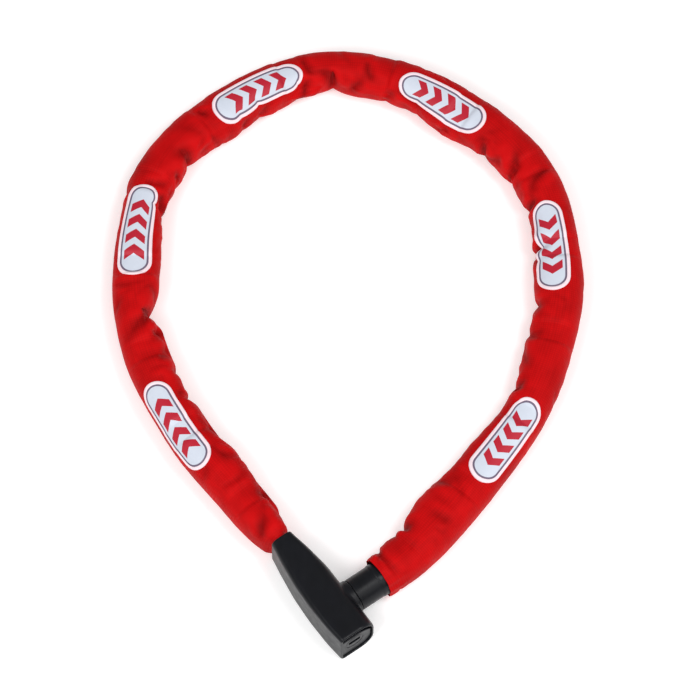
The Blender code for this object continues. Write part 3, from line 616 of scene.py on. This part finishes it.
def sleeve_surface(rings_step):
    """The whole sleeve. Each ring is a superellipse: half width times the signed power of the
    cosine, half height times that of the sine. Creases and waves move it along its normal."""
    rings = int(round((SLEEVE_END - SLEEVE_START) / rings_step)) + 1
    s = np.linspace(SLEEVE_START, SLEEVE_END, rings)[:, None]
    theta = np.linspace(-math.pi / 2, 1.5 * math.pi, SLEEVE_COLUMNS, endpoint=False)[None, :]
    a = theta * ROUND
    place, creep = np.array(CREEP, float).T * MM
    cloth = s - np.interp(s, place, creep)
    outer = smooth_list(cloth[:, 0], OUTER_EDGE, 4 * MM)[:, None]
    inner = smooth_list(cloth[:, 0], INNER_EDGE, 3.5 * MM)[:, None]
    for place, depth in PINCHES:
        inner = inner - depth * MM * np.exp(-np.abs(cloth - place * MM) / (3.0 * MM))
    flat, standing = link_reach(s, 2), link_reach(s, 1)
    # tucked into the body's thin mouth to this half width, and gathered over the ferrule to
    # this half height
    tucked, gathered = 4.7 * MM, 11.3 * MM
    highest, tucked_top, lowest, tucked_bottom = 26 * MM, 25 * MM, 0.3 * MM, 2 * MM
    inside = 1 - smoothstep(s, 0.2 * MM, 5.0 * MM)
    outer = outer + (tucked - outer) * inside
    inner = inner + (tucked - inner) * inside
    gather = smoothstep(s, 784 * MM, 804 * MM)
    top = highest - 1.5 * MM * (1 - smoothstep(standing, 0, 8 * MM))
    top = top + (tucked_top - top) * inside
    top = top + (AXIS_HEIGHT + gathered - top) * gather
    bottom = lowest + (tucked_bottom - lowest) * inside + 1.6 * MM * gather
    middle, half = (top + bottom) / 2, (top - bottom) / 2
    c, z = np.cos(theta), np.sin(theta)
    power = 2 / (2.35 - 0.2 * gather)
    side = np.where(c > 0, outer, inner)
    lateral = np.sign(c) * np.abs(c) ** power * side
    height = middle + np.sign(z) * np.abs(z) ** np.where(z < 0, 2 / 2.9, power) * half
    # cloth moves along the section's own normal, except on the floor and in the mouths
    out_c = np.sign(c) * np.abs(c) ** (2 - power) / side
    out_z = np.sign(z) * np.abs(z) ** (2 - power) / half
    size = np.hypot(out_c, out_z)
    out_c, out_z = out_c / size, out_z / size
    rng = np.random.default_rng(11)
    slack = 0.55 * MM * waves(s, a, rng, 14, 26 * MM, 70 * MM, 0.5)
    ripple = waves(s + 0.35 * waves(s, a, rng, 6, 18 * MM, 40 * MM, 1.2) * 6 * MM, a, rng,
                   10, 9 * MM, 22 * MM, 0.55)
    ripple = 0.16 * MM * np.sign(ripple) * np.abs(ripple) ** 1.3
    move = slack * smoothstep(c, 0.6, -0.4) + ripple * (0.45 + 0.55 * smoothstep(c, 0.5, -0.5))
    calm = np.ones_like(move)
    for place, offset in BADGE_PLACES:
        off = np.hypot(np.clip(np.abs(s - place * MM) - 20 * MM, 0, None),
                       a - (math.pi / 2 * ROUND - offset * MM))
        calm = calm * (0.12 + 0.88 * smoothstep(off, 9 * MM, 15 * MM))
    move = move * calm
    for s0, t0, s1, t1, depth, width in CREASES:
        near = np.abs(cloth[:, 0] - (s0 + s1) / 2 * MM) < (abs(s1 - s0) / 2 + 5 * width + 4) * MM
        move[near] += crease(cloth[near], a, (s0 * MM, math.radians(t0) * ROUND),
                             (s1 * MM, math.radians(t1) * ROUND), depth * MM, width * MM)
    for _ in range(110):
        s0 = rng.uniform(6, 800)
        t0 = rng.choice([rng.uniform(120, 200), rng.uniform(-30, 90)], p=[0.75, 0.25])
        s1, t1 = s0 + rng.normal() * 7, t0 + rng.choice([-1, 1]) * rng.uniform(30, 70)
        depth, width = rng.uniform(0.18, 0.45), rng.uniform(1.3, 2.2)
        near = np.abs(s[:, 0] - (s0 + s1) / 2 * MM) < (abs(s1 - s0) / 2 + 5 * width + 4) * MM
        move[near] += calm[near] * crease(
            s[near], a, (s0 * MM, math.radians(t0) * ROUND),
            (s1 * MM, math.radians(t1) * ROUND), depth * MM, width * MM)
    # painted shade: this value falls where creases press the cloth in and rises where it bulges;
    # the cloth's colour darkens and lightens with it
    fold = 0.5 + (move - slack * 0.5) / (2.4 * MM)
    pleats = 0.35 * MM * np.sin(9 * theta + 1.3 * np.sin(2 * theta))
    pleats = pleats * smoothstep(s, 790 * MM, 807 * MM)
    seam = -0.55 * MM * np.exp(-((s - 802 * MM) / (0.8 * MM)) ** 2)
    lip = -0.35 * MM * smoothstep(s, 807.3 * MM, 808.7 * MM)
    move = move * (1 - 0.9 * inside) + pleats + seam + lip
    lateral = lateral + out_c * move
    height = height + out_z * move
    # the chain holds the cloth out
    level = np.exp(-((height - AXIS_HEIGHT) / (5 * MM)) ** 4)
    least = (flat + 0.7 * MM) * level * (flat > 0)
    lateral = np.sign(lateral) * soft_max(np.abs(lateral), least * (np.abs(c) > 0.35), 0.3 * MM)
    crown = np.exp(-(lateral / (5 * MM)) ** 4) * (z > 0)
    peak = AXIS_HEIGHT + (standing + 0.85 * MM) * crown
    height = np.where(z > 0, soft_max(height, peak, 0.3 * MM), height)
    low = 0.25 * MM + 1.4 * MM * inside
    height = soft_max(height, low, 0.25 * MM)
    centre, sideways = route_at(s[:, 0])
    grid = np.empty((rings, SLEEVE_COLUMNS, 3))
    grid[..., :2] = centre[:, None, :] + lateral[..., None] * sideways[:, None, :]
    grid[..., 2] = height
    return s[:, 0], theta[0], grid, np.clip(fold, 0, 1)


def surface_normals(grid):
    """Cross product of the steps round and along the sleeve, pointing outwards."""
    round_step = np.roll(grid, -1, 1) - np.roll(grid, 1, 1)
    along_step = np.gradient(grid, axis=0)
    normals = np.cross(round_step, along_step)
    normals /= np.linalg.norm(normals, axis=-1)[..., None] + 1e-12
    outward = grid - grid.mean(axis=1, keepdims=True)
    return normals * np.sign((normals * outward).sum())


SLEEVE = {}


def the_sleeve(settings):
    """The whole sleeve, made once and kept for the badges that lie on it."""
    if not SLEEVE:
        s, theta, grid, fold = sleeve_surface(settings.ring_step)
        SLEEVE.update(s=s, theta=theta, grid=grid, fold=fold, normals=surface_normals(grid))
    return SLEEVE


def on_sleeve(s, arc, height):
    """Points at a distance s along the sleeve, an arc length outwards from its top line and a
    height over the cloth, read from the grid by weighting its four nearest points."""
    grid, normals = SLEEVE["grid"], SLEEVE["normals"]
    rings, columns = grid.shape[:2]
    middle = int(np.interp(s.mean(), SLEEVE["s"], np.arange(rings)))
    smooth = grid[max(middle - 25, 0):middle + 25].mean(axis=0)
    steps = np.linalg.norm(np.diff(np.vstack([smooth, smooth[:1]]), axis=0), axis=1)
    lengths = np.concatenate([[0], np.cumsum(steps)])
    top = np.interp(math.pi / 2, np.append(SLEEVE["theta"], 1.5 * math.pi), lengths)
    row = np.interp(s, SLEEVE["s"], np.arange(rings))
    column = np.interp(top - arc, lengths, np.arange(columns + 1))
    r0 = np.clip(np.floor(row).astype(int), 0, rings - 2)
    c0 = np.floor(column).astype(int)
    fr, fc = (row - r0)[..., None], (column - c0)[..., None]
    c0, c1 = c0 % columns, (c0 + 1) % columns

    def read(table):
        return ((1 - fr) * ((1 - fc) * table[r0, c0] + fc * table[r0, c1])
                + fr * ((1 - fc) * table[r0 + 1, c0] + fc * table[r0 + 1, c1]))

    normal = read(normals)
    normal /= np.linalg.norm(normal, axis=-1)[..., None]
    return read(grid) + height[..., None] * normal


# ---------------------------------------------------------------- lock body surfaces

def body_outline(x, inset):
    """Outline of the body at each x, drawn in by inset: straight sides joined by quarter
    circles, small ones on the left and large ones on the right."""
    at, lefts, rights, corners = np.array(JACKET_STATIONS, float).T * MM
    blend = [smooth_list(x, list(zip(at / MM, v / MM)), 2.5 * MM) for v in (lefts, rights, corners)]
    left, right, big = (b[:, None] for b in blend)
    inset = inset[:, None]
    big = np.maximum(big - inset, 0.5 * MM)
    small = smooth_list(x, LEFT_CORNER, 2.5 * MM)[:, None]
    small = np.maximum(small - inset, 0.5 * MM)
    left, right, top = left - inset, right - inset, LOCK_HEIGHT - inset
    quarter = np.linspace(0, math.pi / 2, 14)[None, :]
    runs = []
    for y, z, radius, first in [(right - big, inset + big, big, -90),
                                (right - big, top - big, big, 0),
                                (small - left, top - small, small, 90),
                                (small - left, inset + small, small, 180)]:
        angle = quarter + math.radians(first)
        runs.append(np.stack([y + radius * np.cos(angle), z + radius * np.sin(angle)], -1))
    filled = []
    for run, following in zip(runs, runs[1:] + runs[:1]):
        t = np.linspace(0, 1, 10)[None, 1:-1, None]
        filled += [run, run[:, -1:] * (1 - t) + following[:, :1] * t]
    return np.concatenate(filled, axis=1)


def body_shell(name, rings):
    """A closed shell through rings of (x, inset), each an outline of the body."""
    x, inset = np.array(rings, float).T
    outline = body_outline(x, inset)
    grid = lock_world(x[:, None], outline[..., 0], outline[..., 1])
    return piece(name, grid, ring_loop=True)


def right_wall(x, z):
    """How far the body's ferrule side stands out at x and height z: straight, then the arc."""
    at, _, rights, corners = np.array(JACKET_STATIONS, float).T * MM
    right, radius = np.interp(x, at, rights), np.interp(x, at, corners)
    beyond = np.clip(np.abs(z - AXIS_HEIGHT) - (LOCK_HEIGHT / 2 - radius), 0, radius)
    return right - radius + np.sqrt(radius ** 2 - beyond ** 2)


# ---------------------------------------------------------------- operators

class CHAINLOCK_OT_sleeve(bpy.types.Operator):
    """Build the cloth sleeve in seven pieces that meet under the badges"""
    bl_idname = "chainlock.sleeve"
    bl_label = "Sleeve"

    def execute(self, context):
        settings = context.scene.chainlock_sleeve
        sleeve = the_sleeve(settings)
        s, grid, normals = sleeve["s"], sleeve["grid"], sleeve["normals"]
        material = woven_nylon(settings)
        steps = np.linalg.norm(np.roll(grid, -1, 1) - grid, axis=-1)
        girth = steps.sum(axis=1).mean()
        share = np.linspace(0, 1, grid.shape[1] + 1) * girth
        under_badges = [int(np.abs(s - place * MM).argmin()) for place, _ in BADGE_PLACES]
        cuts = [0, *under_badges, len(s) - 1]
        nodes = ["sleeve_lock_end"] + [f"sleeve_{k}" for k in range(1, 7)] + ["sleeve_ferrule_end"]
        for number, (first, last) in enumerate(zip(cuts, cuts[1:])):
            outside = grid[first:last + 1]
            out_normal = normals[first:last + 1]
            inside = outside - out_normal * settings.wall
            shell = np.concatenate([outside, inside[::-1]])
            along = np.concatenate([s[first:last + 1], s[first:last + 1][::-1], s[first:first + 1]])
            uv = np.stack(np.broadcast_arrays(along[:, None], share[None, :]), -1)
            made = piece(f"nylon_sleeve_{number + 1}", shell, ring_loop=True, uv=uv,
                         normals=np.concatenate([out_normal, -out_normal[::-1]]))
            # the painted crease shade and bulge light go on each piece as a point attribute, read
            # by the cloth's colour
            fold = sleeve["fold"][first:last + 1].astype(np.float32)
            attribute = made.data.attributes.new("fold", "FLOAT", "POINT")
            attribute.data.foreach_set("value", np.concatenate([fold, fold[::-1]]).ravel())
            paint(made, material)
            parent, child, start, end = SLEEVE_BENDS[number]
            route_point(start * MM)
            route_point(end * MM)
            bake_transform(made)
            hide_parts(*(nodes[:2] if number == 0 else nodes[number + 1:number + 2]))
        return {"FINISHED"}


class CHAINLOCK_OT_badges(bpy.types.Operator):
    """Build the six printed badges, pressed on to the sleeve"""
    bl_idname = "chainlock.badges"
    bl_label = "Badges"

    def execute(self, context):
        settings = context.scene.chainlock_badge
        the_sleeve(context.scene.chainlock_sleeve)
        material = printed_label(settings)
        half = settings.width / 2
        straight = settings.length / 2 - half
        # the outline's middle points and directions: two straights and two half circles
        count, turn = 60, 40
        run = np.linspace(-straight, straight, count, endpoint=False)
        sweep = np.linspace(-math.pi / 2, math.pi / 2, turn, endpoint=False)
        spine = np.concatenate([run, np.full(turn, straight), -run, np.full(turn, -straight)])
        angle = np.concatenate([np.full(count, -math.pi / 2), sweep,
                                np.full(count, math.pi / 2), sweep + math.pi])
        # profile from the middle out over the rim, down the edge and back underneath
        rim = half - settings.rim
        flat_part = [(r, 0.38) for r in np.linspace(0, rim - 1.1 * MM, 22)]
        groove = [(rim - 0.9 * MM, 0.38), (rim - 0.75 * MM, 0.24), (rim - 0.45 * MM, 0.22),
                  (rim - 0.25 * MM, 0.36), (rim, 0.62), (rim + 0.25 * MM, 0.72)]
        edge = [(half - 0.9 * MM, 0.74), (half - 0.45 * MM, 0.68), (half - 0.12 * MM, 0.45),
                (half, 0.1), (half, -0.25)]
        under = [(r, -0.25) for r in np.linspace(half, 0, 12)[1:]]
        radius, lift = np.array(flat_part + groove + edge + under).T
        p = spine[None, :] + radius[:, None] * np.cos(angle)[None, :]
        q = radius[:, None] * np.sin(angle)[None, :]
        uv = np.stack([p, q], -1)
        uv = np.concatenate([uv, uv[:, :1]], axis=1)
        uv = np.concatenate([uv, uv[:1]], axis=0)
        for number, (place, offset) in enumerate(BADGE_PLACES, 1):
            grid = on_sleeve(place * MM + p, offset * MM + q, (lift * MM)[:, None] + 0 * p)
            made = piece(f"label_{number}", grid, uv=uv, weld=True)
            paint(made, material)
            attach(made, f"chain_{number}")
            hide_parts(f"badge_{number}")
        return {"FINISHED"}


class CHAINLOCK_OT_body(bpy.types.Operator):
    """Build the lock body's jacket and the boss that the ferrule pushes into"""
    bl_idname = "chainlock.body"
    bl_label = "Lock body"

    def execute(self, context):
        settings = context.scene.chainlock_lock
        material = moulded_plastic(settings)
        lip, length, depth = settings.lip, settings.rim_length, settings.rim_depth
        inner = 0.5 * MM
        # one trip round the wall: out along the skin, over the key-end rim, back inside and over
        # the thin-end lip; each turn is a quarter of an ellipse
        quarter = np.linspace(0, math.pi / 2, 6)
        skin = [(x, 0.0) for x in np.linspace(-LOCK_HALF + lip, LOCK_HALF - length, 72)]
        over = [(LOCK_HALF - length * (1 - math.sin(t)), depth * (1 - math.cos(t)))
                for t in quarter[1:]]
        back = [(LOCK_HALF - inner * (1 - math.cos(t)), JACKET_WALL - inner * (1 - math.sin(t)))
                for t in quarter]
        lining = [(x, JACKET_WALL)
                  for x in np.linspace(LOCK_HALF - inner, -LOCK_HALF + lip, 24)[1:-1]]
        home = [(-LOCK_HALF + lip * (1 - math.sin(t)), JACKET_WALL - lip * (1 - math.cos(t)))
                for t in quarter]
        round_home = [(-LOCK_HALF + lip * (1 - math.cos(t)), lip * (1 - math.sin(t)))
                      for t in quarter[:-1]]
        jacket = body_shell("moulded_jacket", skin + over + back + lining + home + round_home)
        hole = turned("hole", [(0, 4 * MM), (8 * MM, 4 * MM), (8 * MM, 16 * MM), (0, 16 * MM)],
                      lock_world(SOCKET_X, 0.0, AXIS_HEIGHT), LOCK_Y, LOCK_X, LOCK_Z, 64,
                      ring_loop=False)
        cut(jacket, hole)
        paint(jacket, material)
        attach(jacket, "lock")
        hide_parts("jacket")
        boss = self.boss(settings)
        paint(boss, material)
        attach(boss, "lock")
        return {"FINISHED"}

    def boss(self, settings):
        """Rings round the socket's axis: the first lie on the body's curved side and sweep up a
        quarter circle into the boss, then over its rounded end and back down the bore."""
        turn = np.linspace(0, 2 * math.pi, 120, endpoint=False)[None, :]
        flare = settings.flare
        t = np.linspace(0, math.pi / 2, 9)[:, None]
        radius = BOSS_RADIUS + flare * (1 - np.sin(t)) + 0 * turn
        x, z = SOCKET_X + radius * np.cos(turn), AXIS_HEIGHT + radius * np.sin(turn)
        z = np.clip(z, 0.2 * MM, LOCK_HEIGHT - 0.2 * MM)
        y = right_wall(x, z) - 0.15 * MM + flare * (1 - np.cos(t))
        rounding = 0.7 * MM
        arc = np.linspace(0, math.pi / 2, 6)
        rim = [(BOSS_RADIUS - rounding * (1 - math.cos(k)), BOSS_END - rounding * (1 - math.sin(k)))
               for k in arc]
        mouth = [(BORE_RADIUS + rounding * (1 - math.sin(k)),
                  BOSS_END - rounding * (1 - math.cos(k))) for k in arc]
        rest = rim + mouth + [(BORE_RADIUS, 7.0 * MM), (BOSS_RADIUS - 1.5 * MM, 7.0 * MM)]
        r2, y2 = np.array(rest).T
        x2, z2 = (SOCKET_X + r2[:, None] * np.cos(turn), AXIS_HEIGHT + r2[:, None] * np.sin(turn))
        grid = lock_world(np.concatenate([x, x2]), np.concatenate([y, y2[:, None] + 0 * turn]),
                          np.concatenate([z, z2]))
        return piece("socket_boss", grid, ring_loop=True)


class CHAINLOCK_OT_key_end(bpy.types.Operator):
    """Build the key face and the slotted plug in it"""
    bl_idname = "chainlock.key_end"
    bl_label = "Key end"

    def execute(self, context):
        material = bpy.data.materials["moulded_black_nylon"]
        axis = lock_world(0.0, 0.0, AXIS_HEIGHT)
        cap = self.face(0.5 * MM, PLUG_HOLE)
        paint(cap, material)
        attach(cap, "lock")
        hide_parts("end_cap")
        face = FACE_PLACE
        profile = [(0, PLUG_BACK), (PLUG_RADIUS, PLUG_BACK), (PLUG_RADIUS, face - 0.4 * MM),
                   (PLUG_RADIUS - 0.12 * MM, face - 0.12 * MM), (PLUG_RADIUS - 0.4 * MM, face),
                   (0, face)]
        plug = turned("key_plug", profile, axis, LOCK_X, LOCK_Y, LOCK_Z, 64, ring_loop=False)
        half_width, half_height = KEYWAY
        corners = [(-half_width, -half_height), (half_width, -half_height),
                   (half_width, half_height), (-half_width, half_height)]
        outline = rounded_profile(corners, 0.5 * MM, 4)
        x = np.array([PLUG_BACK + 1 * MM, 38 * MM])
        walls = lock_world(x[:, None], outline[None, :, 0], AXIS_HEIGHT + outline[None, :, 1])
        middle = np.repeat(walls.mean(axis=1, keepdims=True), walls.shape[1], axis=1)
        slot_cutter = piece("slot", np.concatenate([middle[:1], walls, middle[1:]]), weld=True)
        cut(plug, slot_cutter)
        paint(plug, material)
        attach(plug, "plug")
        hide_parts("plug")
        return {"FINISHED"}

    def face(self, soft, bore):
        """Rings from the bore's circle out to the body's outline on the back, up the flange's
        edge, in to the lower panel, round a quarter circle on to its front and in to the bore."""
        quarter = np.linspace(0, math.pi / 2, 6)
        flange = np.array([CAP_BACK, FLANGE_FACE])
        panel = np.array([FLANGE_FACE, *(FACE_PLACE - soft + soft * np.sin(quarter)), FACE_PLACE])
        inset = np.array([0, *(soft * (1 - np.cos(quarter))), 2.5 * soft]) + CAP_INSET
        back = body_outline(flange, np.full(2, CAP_INSET))
        front = body_outline(panel, inset)
        front[..., 1] -= PANEL_DROP * smoothstep(front[..., 1], 13 * MM, 25 * MM)
        angle = np.arctan2(back[:1, :, 1] - AXIS_HEIGHT, back[:1, :, 0])
        circle = np.stack([bore * np.cos(angle), AXIS_HEIGHT + bore * np.sin(angle)], -1)
        rings = np.concatenate([circle, back, front, circle])
        places = np.array([CAP_BACK, *flange, *panel, FACE_PLACE])
        made = piece("key_face", lock_world(places[:, None], rings[..., 0], rings[..., 1]),
                     ring_loop=True)
        made.data.set_sharp_from_angle(angle=math.radians(38))
        return made


class CHAINLOCK_OT_ferrule(bpy.types.Operator):
    """Build the ferrule's plastic cover"""
    bl_idname = "chainlock.ferrule"
    bl_label = "Ferrule"

    def execute(self, context):
        material = bpy.data.materials["moulded_black_nylon"]
        outline = [(COVER_INNER, COVER_START), (COVER_RADIUS, COVER_START),
                   (COVER_RADIUS, 29.6 * MM), (COVER_RADIUS + 0.35 * MM, 30.4 * MM),
                   (COVER_RADIUS + 0.35 * MM, COVER_END), (COVER_INNER, COVER_END)]
        profile = rounded_profile(outline, 0.55 * MM, 6)
        cover = turned("ferrule_sheath", profile, lock_world(SOCKET_X, 0.0, AXIS_HEIGHT),
                       LOCK_Y, LOCK_X, LOCK_Z, 120)
        paint(cover, material)
        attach(cover, "ferrule")
        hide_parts("ferrule_cover")
        return {"FINISHED"}


class CHAINLOCK_OT_metalwork(bpy.types.Operator):
    """Give the chain, pins, core and latch their metals"""
    bl_idname = "chainlock.metalwork"
    bl_label = "Metalwork"

    def execute(self, context):
        # zinc-plated hardened steel: bright bluish grey, tumbled smooth
        steel = metal("plated_hardened_steel", "b4b8be", 0.3, 1.2 * MM, 1.0, 0.55)
        # turned steel: fine rings left by the lathe
        turned_steel = metal("turned_steel", "bcbfc4", 0.24, 0.5 * MM, 1.0, 0.7)
        # die-cast zinc: dull, slightly mottled
        zinc = metal("die_cast_zinc", "9c9fa3", 0.48, 1.6 * MM, 1.0, 0.6)
        # drawn brass: warm yellow, dulled by handling
        brass = metal("drawn_brass", "c9a252", 0.32, 0.8 * MM, 0.3, 0.6)
        finishes = {"link_": steel, "anchor_pin": steel, "ferrule_pin": steel,
                    "locking_pin": turned_steel, "latch_bolt": turned_steel, "cam": turned_steel,
                    "lock_core": zinc, "cylinder_housing": zinc, "wafer_": brass}
        for name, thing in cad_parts.items():
            for start, finish in finishes.items():
                if name.startswith(start):
                    paint(thing, finish)
        return {"FINISHED"}


class CHAINLOCK_OT_stage(bpy.types.Operator):
    """Build the floor, the soft lights and the camera"""
    bl_idname = "chainlock.stage"
    bl_label = "Stage"

    def execute(self, context):
        settings = context.scene.chainlock_stage
        reach = np.linspace(-3, 3, 3)
        x, y = np.meshgrid(reach, reach, indexing="ij")
        floor = piece("floor", np.stack([x, y, 0 * x - 0.1 * MM], -1), column_loop=False)
        floor.data.flip_normals()
        material, tree, shader = new_material("painted_board")
        # matt white board: no gleam, hardly any texture
        place = node(tree, "ShaderNodeTexCoord").outputs["Object"]
        mottle = node(tree, "ShaderNodeTexNoise", {"Vector": place, "Scale": 30.0})
        base = linear(settings.floor)
        ramp = node(tree, "ShaderNodeValToRGB", [mottle])
        grey, white = ramp.color_ramp.elements
        grey.color, white.color = (*[0.99 * c for c in base[:3]], 1), base
        # a little light of its own keeps the shadows on the board faint
        fill(tree, shader, {"Base Color": ramp, "Roughness": 0.9,
                            "Specular IOR Level": 0.1, "Emission Color": (1, 1, 1, 1),
                            "Emission Strength": 0.2})
        paint(floor, material)
        world = bpy.data.worlds.new("studio")
        context.scene.world = world
        world.use_nodes = True
        fill(world.node_tree, world.node_tree.nodes["Background"], {0: (1, 1, 1, 1), 1: 0.45})
        target = Vector((17.8 * MM, 150.4 * MM, AXIS_HEIGHT))
        lamps = [("key_light", (-1.3, -1.3, 2.2), 1.2, 38),
                 ("fill_light", (1.9, -0.7, 1.6), 1.6, 14),
                 ("front_light", (0.3, -1.9, 2.3), 1.4, 18),
                 ("top_light", (1.02, -0.19, 2.27), 0.7, 16)]
        for name, place, size, power in lamps:
            lamp = bpy.data.lights.new(name, "AREA")
            lamp.size = size
            lamp.energy = power
            holder = bpy.data.objects.new(name, lamp)
            holder.location = place
            holder.rotation_mode = "QUATERNION"
            holder.rotation_quaternion = (target - Vector(place)).to_track_quat("-Z", "Y")
            context.scene.collection.objects.link(holder)
        data = bpy.data.cameras.new("camera")
        data.sensor_width = 36
        data.lens = 36 * settings.distance / settings.view_width
        camera = bpy.data.objects.new("camera", data)
        back = Vector((0, -math.cos(settings.elevation), math.sin(settings.elevation)))
        camera.location = target + back * settings.distance
        camera.rotation_mode = "QUATERNION"
        camera.rotation_quaternion = (-back).to_track_quat("-Z", "Y")
        data.clip_start, data.clip_end = 0.05, 50
        context.scene.collection.objects.link(camera)
        context.scene.camera = camera
        context.scene.view_settings.view_transform = "Standard"
        return {"FINISHED"}


class CHAINLOCK_PT_panel(bpy.types.Panel):
    """Lists the pieces of the chain lock"""
    bl_idname = "CHAINLOCK_PT_panel"
    bl_label = "Chain Lock"
    bl_space_type = "VIEW_3D"
    bl_region_type = "UI"
    bl_category = "Chain Lock"

    def draw(self, context):
        for group in (context.scene.chainlock_sleeve, context.scene.chainlock_badge,
                      context.scene.chainlock_lock, context.scene.chainlock_stage):
            for name in group.__annotations__:
                self.layout.prop(group, name)
        for operator in OPERATORS:
            self.layout.operator(operator.bl_idname)


GROUPS = {"chainlock_sleeve": CHAINLOCK_PG_sleeve, "chainlock_badge": CHAINLOCK_PG_badge,
          "chainlock_lock": CHAINLOCK_PG_lock, "chainlock_stage": CHAINLOCK_PG_stage}
OPERATORS = [CHAINLOCK_OT_stage, CHAINLOCK_OT_sleeve, CHAINLOCK_OT_badges, CHAINLOCK_OT_body,
             CHAINLOCK_OT_key_end, CHAINLOCK_OT_ferrule, CHAINLOCK_OT_metalwork]


def register():
    for made in [*GROUPS.values(), *OPERATORS, CHAINLOCK_PT_panel]:
        bpy.utils.register_class(made)
    for name, group in GROUPS.items():
        setattr(bpy.types.Scene, name, PointerProperty(type=group))


def unregister():
    for name in GROUPS:
        delattr(bpy.types.Scene, name)
    for made in [CHAINLOCK_PT_panel, *reversed(OPERATORS), *GROUPS.values()]:
        bpy.utils.unregister_class(made)


def main():
    register()
    bpy.ops.chainlock.stage()
    bpy.ops.chainlock.sleeve()
    bpy.ops.chainlock.badges()
    bpy.ops.chainlock.body()
    bpy.ops.chainlock.key_end()
    bpy.ops.chainlock.ferrule()
    bpy.ops.chainlock.metalwork()


if __name__ == "__main__":
    main()
